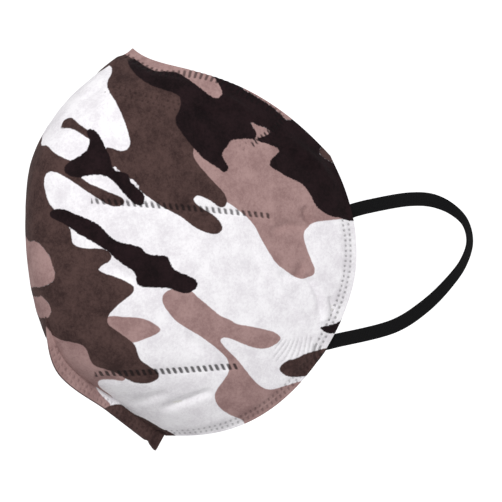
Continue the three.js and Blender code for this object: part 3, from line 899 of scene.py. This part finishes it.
for from_edge_mm in (1.5, 3.5):
    off = distance - tip[:, None] + from_edge_mm
    row = dash_marks(along, off, pitch=2.1, width=1.0, length=1.5, slant=0.2)
    marks = np.maximum(marks, row * (grown[:, None] > 0.6))
sealed = eased(distance - tip[:, None], -0.7, -0.1) * grown[:, None]
half_thick = (FIN_THICK / 2) * (1 - 0.45 * marks - 0.55 * sealed)
middle_points = fold[:, None] + away[:, None] * distance[..., None]
thicker = np.array([1, 0, 0]) * half_thick[..., None]
points = np.concatenate([(middle_points + sign * thicker).reshape(-1, 3) for sign in (-1, 1)])
fin_ink = ink_distances(LEFT_PRINT, plan_of(points))
# The fin's weld marks darken its colour, partly as painted shade in their dents.
fin_ink["scorch"] = 0.45 * np.tile(marks.ravel(), 2)
fin_ink["sealed"] = np.tile(sealed.ravel(), 2)
faces = sheet_faces(distance.shape, distance.shape)
chin = make_piece("chin_seam_fin", points, faces, **fin_ink)
print(f"the seam is {fin_run[-1]:.0f} mm long")

# %% [markdown]
# ## The ear bands
#
# Each band is one flat elastic, welded inside the cup near the top and near the bottom of the ear edge. It
# leaves the edge flared outwards, and it turns edge-on round the back of the ear. It is welded and hinged where
# the frame's band is, and its free loop keeps within about 2 mm of the frame's. Fine ribs run along it, and its
# two ends are pressed with a hatched weld.

# %% Ear bands
BAND_WIDTH, BAND_THICK, RIBS, RIB_HEIGHT = 5.2, 0.9, 7, 0.05
BAND_CLEARANCE, BAND_PAST_EDGE, LOOP_CLEARANCE = 0.6, 2.2, 0.4
LOOP_RISE = 0.25
FLARE, TWIST = math.radians(30), math.radians(58)
back = np.array([math.sin(FLARE), math.cos(FLARE), 0])
out = np.array([math.cos(FLARE), -math.sin(FLARE), 0])
leaving = (back + [0, 0, LOOP_RISE]) / math.sqrt(1 + LOOP_RISE**2)
BAND_DEPTH = LAYERS["liner"][1] - BAND_CLEARANCE - BAND_THICK / 2
HINGE_PAST_EDGE = BAND_PAST_EDGE + LOOP_CLEARANCE + BAND_THICK / 2
PRESSED_ON = 0.5  # the welded ends lie this much closer to the lining than the hinges do
ENDS = {"upper": ((0.74, 0.1), (1, 0.28)), "lower": ((0.85, 0.965), (1, 0.985))}
LOOP_ROUTE = [(25.4, 18.9), (33.9, 18.4), (41.1, 15.2), (46.1, 10.2), (47.8, 3.1), (45.4, -4.7), (39.7, -12.5),
              (31.1, -20.9), (19.7, -28.2)]


def hinge_of(end):
    """Where the free loop turns, just past the ear edge."""
    across, down = (np.array([value]) for value in ENDS[end][1])
    return (surface(across, down) + outward(across, down) * BAND_DEPTH)[0] + leaving * HINGE_PAST_EDGE


def welded_end(end, steps=9):
    """Points and facing of the stretch that is welded to the lining, lying close against it."""
    t = np.linspace(0, 1, steps)
    across, down = (a + (b - a) * t for a, b in zip(*ENDS[end]))
    normal = outward(across, down)
    depth = BAND_DEPTH + PRESSED_ON + sample(forms["left"], across, down)
    return surface(across, down) + normal * depth[:, None], normal


upper, lower = hinge_of("upper"), hinge_of("lower")
middle = (upper + lower) / 2
free = [middle * [1, 1, 0] + [0, 0, z] + back * b for b, z in LOOP_ROUTE]
(upper_points, upper_facing), (lower_points, lower_facing) = welded_end("upper"), welded_end("lower")
loop = np.array([upper, upper + leaving * BAND_WIDTH, *free, lower + leaving * BAND_WIDTH / 2, lower])
control = np.concatenate([upper_points, loop, lower_points[::-1]])
line_points = along_curve(control, np.linspace(0, 1, 3000))
places = runs(line_points)
hinges = (upper, lower)
loop_from, loop_to = (places[np.linalg.norm(line_points - point, axis=1).argmin()] for point in hinges)
STATIONS = 420
stations = evenly(line_points, STATIONS)
at = np.linspace(0, places[-1], STATIONS)
TURNS_EARLY = 0.75  # below 1, the band is edge-on before the middle of the loop
turn = TWIST * np.sin(math.pi * np.clip((at - loop_from) / (loop_to - loop_from), 0, 1) ** TURNS_EARLY) ** 2
facing = out * np.cos(turn)[:, None] + back * np.sin(turn)[:, None]
for welded, past_hinge in ((upper_facing[-1], at - loop_from), (lower_facing[-1], loop_to - at)):
    share = eased(past_hinge, -6, 1)[:, None]
    facing = facing * share + welded * (1 - share)

TOP_POINTS, SIDE_POINTS = 29, 5
ROUND = 0.3
FLAT_TO, FACE_AT = BAND_WIDTH / 2 - ROUND, BAND_THICK / 2 - RIB_HEIGHT
face_across = np.linspace(-1, 1, TOP_POINTS) * FLAT_TO
rib = RIB_HEIGHT * np.cos(np.linspace(-1, 1, TOP_POINTS) * math.pi * RIBS)
angles = [math.radians(a) for a in np.linspace(90, -90, SIDE_POINTS + 2)[1:-1]]
right_side = [(FLAT_TO + ROUND * math.cos(a), FACE_AT * math.sin(a)) for a in angles]
left_side = [(-a, b) for a, b in right_side[::-1]]
top = np.stack([face_across, FACE_AT + rib], axis=1)
BAND_SECTION = np.concatenate([top, right_side, top[::-1] * [1, -1], left_side])[::-1]
section_run = BAND_SECTION[:, 0]
along, off = np.broadcast_arrays(at[:, None], section_run)
hatch = dash_marks(along, off, pitch=1.7, width=0.9, length=4.6, slant=0.5)
from_end = np.minimum(at, places[-1] - at)
HATCH_FROM, HATCH_TO, HATCH_PRESS = 1, 9, 0.22
hatched = eased(-from_end, -HATCH_TO - 0.5, -HATCH_TO) * eased(from_end, HATCH_FROM, HATCH_FROM + 0.5)
hatch = hatch * hatched[:, None]
press = -HATCH_PRESS * hatch * np.sign(BAND_SECTION[:, 1])
bands = {}
for side in ("left", "right"):
    points, faces = sweep(stations, facing, BAND_SECTION, press)
    details = dict(along=np.repeat(at, len(BAND_SECTION)), across=np.tile(section_run, len(at)), weld=hatch)
    bands[side] = make_piece(f"ear_band_{side}", points, faces, side, sharp=75, **details)
print(f"each band is {places[-1]:.0f} mm long, of which {loop_to - loop_from:.0f} mm is free")

# %% [markdown]
# ## A small kit for materials
#
# Every finish here is made of the same few steps: read a number from the mesh or from a noise, turn a range of
# it into another range, and mix two colours by it. Short helpers keep each material readable.

# %% Material helpers
MIX_FIRST, MIX_SECOND, MIX_RESULT = 6, 7, 2  # the mix node's sockets that hold colour


def linear(*rgb):
    """A colour given as 0 to 255 in the usual display scale, as the linear values that light adds up in."""
    values = [c / 255 for c in rgb]
    return tuple(c / 12.92 if c < 0.04045 else ((c + 0.055) / 1.055) ** 2.4 for c in values) + (1,)


class Finish:
    """A material being built, with its nodes linked as they are made."""

    def __init__(self, name, roughness, sheen=0.0, sheen_roughness=0.5, gloss=0.5):
        self.material = bpy.data.materials.new(name)
        self.material.use_nodes = True
        self.nodes, self.links = self.material.node_tree.nodes, self.material.node_tree.links
        self.shader = self.nodes["Principled BSDF"]
        self.shader.inputs["Roughness"].default_value = roughness
        self.shader.inputs["Specular IOR Level"].default_value = gloss
        self.shader.inputs["Sheen Weight"].default_value = sheen
        self.shader.inputs["Sheen Roughness"].default_value = sheen_roughness
        self.place = self.nodes.new("ShaderNodeTexCoord").outputs["Object"]

    def put(self, socket, value):
        """Feed a socket, from another socket or with a fixed value."""
        if isinstance(value, bpy.types.NodeSocket):
            self.links.new(value, socket)
        else:
            socket.default_value = value

    def read(self, attribute):
        """A number stored on the mesh."""
        node = self.nodes.new("ShaderNodeAttribute")
        node.attribute_name = attribute
        return node.outputs["Fac"]

    def noise(self, size_mm, detail=3.0, rough=0.6, stretch=None):
        """A noise with lumps of this size. The stretch is a scale, then a turn in degrees."""
        node = self.nodes.new("ShaderNodeTexNoise")
        node.inputs["Scale"].default_value = 1000 / size_mm
        node.inputs["Detail"].default_value = detail
        node.inputs["Roughness"].default_value = rough
        place = self.place
        if stretch is not None:
            scale, turned = stretch
            mapping = self.nodes.new("ShaderNodeMapping")
            mapping.inputs["Rotation"].default_value = [math.radians(a) for a in turned]
            mapping.inputs["Scale"].default_value = scale
            self.links.new(place, mapping.inputs["Vector"])
            place = mapping.outputs["Vector"]
        self.links.new(place, node.inputs["Vector"])
        return node.outputs["Fac"]

    def calc(self, operation, *values):
        """One step of arithmetic, by the name Blender gives it."""
        node = self.nodes.new("ShaderNodeMath")
        node.operation = operation
        for socket, value in zip(node.inputs, values):
            self.put(socket, value)
        return node.outputs["Value"]

    def range(self, value, low, high, to_low=0.0, to_high=1.0):
        """A smooth step from one range of values to another."""
        node = self.nodes.new("ShaderNodeMapRange")
        node.interpolation_type = "SMOOTHSTEP"
        limits = {"From Min": low, "From Max": high, "To Min": to_low, "To Max": to_high}
        for label, number in limits.items():
            node.inputs[label].default_value = number
        self.put(node.inputs["Value"], value)
        return node.outputs["Result"]

    def mix(self, share, first, second):
        """The first colour where the share is 0, the second where it is 1."""
        node = self.nodes.new("ShaderNodeMix")
        node.data_type = "RGBA"
        self.put(node.inputs["Factor"], share)
        self.put(node.inputs[MIX_FIRST], first)
        self.put(node.inputs[MIX_SECOND], second)
        return node.outputs[MIX_RESULT]

    def colour(self, value):
        self.put(self.shader.inputs["Base Color"], value)

    def roughness(self, value):
        self.put(self.shader.inputs["Roughness"], value)

    def bump(self, height, depth_mm):
        node = self.nodes.new("ShaderNodeBump")
        node.inputs["Strength"].default_value = 1.0
        node.inputs["Distance"].default_value = depth_mm * MM
        self.put(node.inputs["Height"], height)
        self.links.new(node.outputs["Normal"], self.shader.inputs["Normal"])

    def onto(self, *pieces):
        """Put the finish on the pieces."""
        for piece in pieces:
            piece.data.materials.clear()
            piece.data.materials.append(self.material)


print("material helpers ready")

# %% [markdown]
# ## Printed spunbond
#
# Spunbond is a felt of fine loose filaments, so ink on it looks slightly blotchy and its edges are a little
# ragged. The ink distances from the mesh are shifted by a fine noise before they are cut, and each ink is a
# blend of two near tones. At a weld the web is melted, so it is smoother there. Its colour is darkened there
# too, partly for the melt and partly as painted shade in the pressed-in dent.

# %% Printed cover finish
SHADES = {
    "bare": ((247, 245, 248), (224, 220, 225)),
    "pink": ((169, 139, 136), (141, 112, 110)),
    "brown": ((82, 62, 59), (52, 37, 36)),
    "black": ((33, 20, 23), (14, 6, 8)),
}


# MARK is the weld marks' colour: partly melted web, partly painted shade in the pressed dents.
MARK, SEALED_EDGE = (12, 6, 8), (70, 56, 56)
RAGGED = {"pink": 0.7, "brown": 0.9, "black": 1.5}  # how far the noise moves each ink's edge, in millimetres


def printed(name, sealed=False):
    """Spunbond in its inks. With sealed, its trimmed edge is melted too."""
    finish = Finish(name, roughness=0.8, sheen=0.01, sheen_roughness=0.5, gloss=0.1)
    blotch = finish.noise(1.1, detail=5, rough=0.75)
    cloud = finish.noise(7, detail=3, rough=0.55)
    fibre = finish.noise(0.55, detail=2, stretch=((1, 1, 5), (20, 35, 10)))
    other_fibre = finish.noise(0.55, detail=2, stretch=((1, 5, 1), (-15, 10, 40)))
    tone = finish.calc("MULTIPLY_ADD", cloud, 0.9, finish.calc("MULTIPLY_ADD", fibre, 0.35, -0.32))
    tone = finish.calc("ADD", tone, finish.calc("MULTIPLY_ADD", blotch, 0.9, -0.45))
    tone = finish.range(tone, 0.05, 0.6)
    colour = finish.mix(tone, *(linear(*shade) for shade in SHADES["bare"]))
    for ink, rag in RAGGED.items():
        edge = finish.calc("ADD", finish.read(ink), finish.calc("MULTIPLY_ADD", blotch, rag, -rag / 2))
        covered = finish.range(edge, 0.22, -0.22)
        inked = finish.mix(tone, *(linear(*shade) for shade in SHADES[ink]))
        colour = finish.mix(covered, colour, inked)
    # Welds pull the colour towards MARK: the melt, and painted shade in their dents.
    pressed = finish.range(finish.read("scorch"), 0.1, 1.0, 0, 0.85)
    darker = finish.mix(pressed, colour, linear(*MARK))
    if sealed:
        melted = finish.range(finish.read("sealed"), 0.3, 0.9, 0, 0.75)
        darker = finish.mix(melted, darker, linear(*SEALED_EDGE))
    finish.colour(darker)
    smoother = finish.calc("SUBTRACT", pressed, finish.calc("MULTIPLY", fibre, 0.3))
    finish.roughness(finish.range(smoother, -0.3, 1, 0.9, 0.6))
    height = finish.calc("ADD", finish.calc("MULTIPLY", fibre, 0.5), finish.calc("MULTIPLY", other_fibre, 0.5))
    finish.bump(finish.calc("ADD", height, finish.calc("MULTIPLY", blotch, 0.6)), 0.11)
    return finish


printed("printed spunbond").onto(*covers.values())
printed("printed seam", sealed=True).onto(chin)
print("printed cover and seam finished")

# %% [markdown]
# ## Plain webs
#
# The lining is bright white and soft, the cotton is a loose fluff, and the filters are smooth, slightly blue
# white sheets. All are felts without a weave, so each is the same felt with its own size, tone and depth.

# %% Plain felts
# Grey for the lining's weld marks: partly melted web, partly painted shade in their dents.
LINING_MARK = (176, 174, 178)


def felt(name, light, dark, size_mm, depth_mm, roughness, sheen, welded=False):
    """A plain felt between two tones. With welded, its weld marks go grey, partly as painted dent shade."""
    finish = Finish(name, roughness=roughness, sheen=sheen, sheen_roughness=0.55)
    fibre = finish.noise(size_mm, detail=4, rough=0.7, stretch=((1, 1, 4), (25, 30, 15)))
    clump = finish.noise(size_mm * 7, detail=3)
    tone = finish.calc("ADD", finish.calc("MULTIPLY", fibre, 0.6), finish.calc("MULTIPLY", clump, 0.5))
    colour = finish.mix(finish.range(tone, 0.35, 0.75), linear(*light), linear(*dark))
    if welded:
        pressed = finish.range(finish.read("scorch"), 0.2, 0.9, 0, 0.4)
        colour = finish.mix(pressed, colour, linear(*LINING_MARK))
    finish.colour(colour)
    finish.bump(finish.calc("ADD", fibre, finish.calc("MULTIPLY", clump, 0.5)), depth_mm)
    return finish


lining = felt("soft lining", (240, 239, 241), (222, 220, 224), 0.6, 0.1, 0.85, 0.2, welded=True)
cotton = felt("hot-air cotton", (244, 242, 238), (224, 221, 216), 1.0, 0.3, 0.95, 0.35)
melt_blown = felt("melt-blown filter", (238, 241, 245), (220, 224, 231), 0.3, 0.04, 0.7, 0.1)
lining.onto(*liners.values())
for (name, side), piece in hidden.items():
    (cotton if name == "cotton" else melt_blown).onto(piece)
wire_finish = Finish("coated wire", roughness=0.45)
scuffs = wire_finish.noise(0.9, detail=3, stretch=((1, 1, 6), (0, 0, 0)))
scuffed = wire_finish.range(scuffs, 0.4, 0.7)
wire_finish.colour(wire_finish.mix(scuffed, linear(236, 236, 238), linear(214, 215, 219)))
wire_finish.roughness(wire_finish.range(scuffs, 0.3, 0.8, 0.38, 0.58))
wire_finish.bump(scuffs, 0.02)
wire_finish.onto(*wires.values())
print("plain webs and wire finished")

# %% [markdown]
# ## Knitted elastic
#
# The band is knitted from black yarn over rubber threads: fine ribs lengthwise, and a stitch every 0.6 mm
# across them. The ribs are in the mesh. The stitches are drawn from the two lengths stored on it.

# %% Band finish
elastic = Finish("black knitted elastic", roughness=0.6, sheen=0.0, sheen_roughness=0.4, gloss=0.1)
along, across = elastic.read("along"), elastic.read("across")
STITCH = 0.62
POSITIVE = 50.25  # keeps the count of ribs above zero, and puts the stitches' lean on the ribs
ribbed = elastic.calc("MULTIPLY_ADD", across, RIBS / (BAND_WIDTH - 2 * ROUND), POSITIVE)
leaning = elastic.calc("PINGPONG", ribbed, 0.5)
slanted = elastic.calc("ADD", along, elastic.calc("MULTIPLY", leaning, 0.7))
stitch = elastic.calc("SINE", elastic.calc("MULTIPLY", slanted, 2 * math.pi / STITCH))
fuzz = elastic.noise(0.35, detail=3)
yarn = elastic.calc("ADD", elastic.range(stitch, -1, 1), elastic.calc("MULTIPLY", fuzz, 0.8))
elastic.colour(elastic.mix(elastic.range(yarn, 0.3, 1.5), linear(4, 4, 5), linear(17, 17, 18)))
flattened = elastic.range(elastic.read("weld"), 0.2, 0.9)
elastic.roughness(elastic.range(flattened, 0, 1, 0.78, 0.5))
elastic.bump(yarn, 0.09)
elastic.onto(*bands.values())
print("bands finished")

# %% [markdown]
# ## The frame's parts that the pieces replace
#
# The two halves turn about the nose-to-chin line. Each piece built here is set in place, and the frame's part
# that it replaces is hidden. Only the chin seam is attached to its body.

# %% Replaced nodes, and the chin seam's body
NODES = {"cotton": "hot_air_cotton", "filter_1": "filter_layer_1", "filter_2": "filter_layer_2"}
SLOTS = {"cotton": "cotton", "filter_1": "melt_blown", "filter_2": "melt_blown"}
BAND_NODES = ("ear_loop_upper_end", "ear_loop", "ear_loop_lower_end")
for side, sign in (("left", 1), ("right", -1)):
    half_pieces = [
        (covers[side], "outer_cover", "printed_cover"),
        (liners[side], "inner_liner", "liner"),
        (wires[side], "nose_wire", "wire"),
    ] + [(hidden[name, side], NODES[name], SLOTS[name]) for name in NODES]
    for piece, node, slot in half_pieces:
        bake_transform(piece)
        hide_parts(f"{node}_{side}")
    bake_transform(bands[side])
    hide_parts(*(f"{node}_{side}" for node in BAND_NODES))
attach(chin, "chin_seam")
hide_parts("chin_seam")

# %% [markdown]
# ## The cut sizes of the sheets
#
# Each web is cut flat before it is welded, about 135 mm from fold to ear edge and 165 mm high, with its corners
# cut away. Folding the flat halves open gives the cup its shape without stretching anything much.

# %% Sheets
print("each web is cut about 135 mm by 165 mm")

# %% [markdown]
# ## Floor and light
#
# The floor is a wide pale bowl: flat under the mask, and rising far away into a wall, so no horizon shows from
# any side. Light comes from a bright, even surrounding and one soft lamp near the camera, above it.

# %% Floor
FLOOR_BELOW = 81 * MM
FLAT_RADIUS, WALL_RADIUS, WALL_UP = 2.6, 1.6, 1.9
SPOKES = 96
FLOOR_GLOW = 0.55
profile = [(r, 0.0) for r in (0.3, 1.0, 1.9, FLAT_RADIUS)]
profile += [(FLAT_RADIUS + WALL_RADIUS * math.sin(a), WALL_RADIUS * (1 - math.cos(a)))
            for a in np.radians(np.arange(6, 91, 6))]
profile.append((FLAT_RADIUS + WALL_RADIUS, WALL_UP))
turns = np.linspace(0, 2 * math.pi, SPOKES, endpoint=False)
points = [(0, 0, -FLOOR_BELOW)]
points += [(r * math.cos(a), r * math.sin(a), z - FLOOR_BELOW) for r, z in profile for a in turns]
faces = [(0, 1 + k, 1 + (k + 1) % SPOKES) for k in range(SPOKES)]
for ring in range(len(profile) - 1):
    inner, outer = 1 + ring * SPOKES, 1 + (ring + 1) * SPOKES
    faces += [(inner + k, outer + k, outer + (k + 1) % SPOKES, inner + (k + 1) % SPOKES) for k in range(SPOKES)]
floor_mesh = bpy.data.meshes.new("floor")
floor_mesh.from_pydata(points, [], faces)
floor_mesh.shade_smooth()
floor = bpy.data.objects.new("floor", floor_mesh)
bpy.context.scene.collection.objects.link(floor)
floor_finish = Finish("pale floor", roughness=0.9)
speck = floor_finish.noise(400, detail=2)
floor_finish.colour(floor_finish.mix(speck, linear(250, 250, 251), linear(247, 247, 248)))
floor_finish.shader.inputs["Emission Color"].default_value = (1, 1, 1, 1)
floor_finish.shader.inputs["Emission Strength"].default_value = FLOOR_GLOW
floor_finish.onto(floor)
floor.visible_diffuse = False
print("floor set")

# %% Light
WORLD = 0.6
KEY_SIZE, KEY_WATTS = 0.4, 9.0
world = bpy.data.worlds.new("studio")
bpy.context.scene.world = world
world.use_nodes = True
world.node_tree.nodes["Background"].inputs["Color"].default_value = (1, 1, 1, 1)
world.node_tree.nodes["Background"].inputs["Strength"].default_value = WORLD


def soft_lamp(name, place, size, watts):
    """A round lamp that faces the middle of the mask."""
    light = bpy.data.lights.new(name, "AREA")
    light.shape, light.size, light.energy = "DISK", size, watts
    lamp = bpy.data.objects.new(name, light)
    lamp.location = place
    lamp.rotation_euler = Vector(-np.array(place)).to_track_quat("-Z", "Y").to_euler()
    bpy.context.scene.collection.objects.link(lamp)


key_place = TOWARDS * 1.15 - RIGHT * 0.12 + np.array([0, 0, 0.55])
soft_lamp("key", key_place, KEY_SIZE, KEY_WATTS)
bpy.context.scene.view_settings.view_transform = "Standard"
print("lights set")
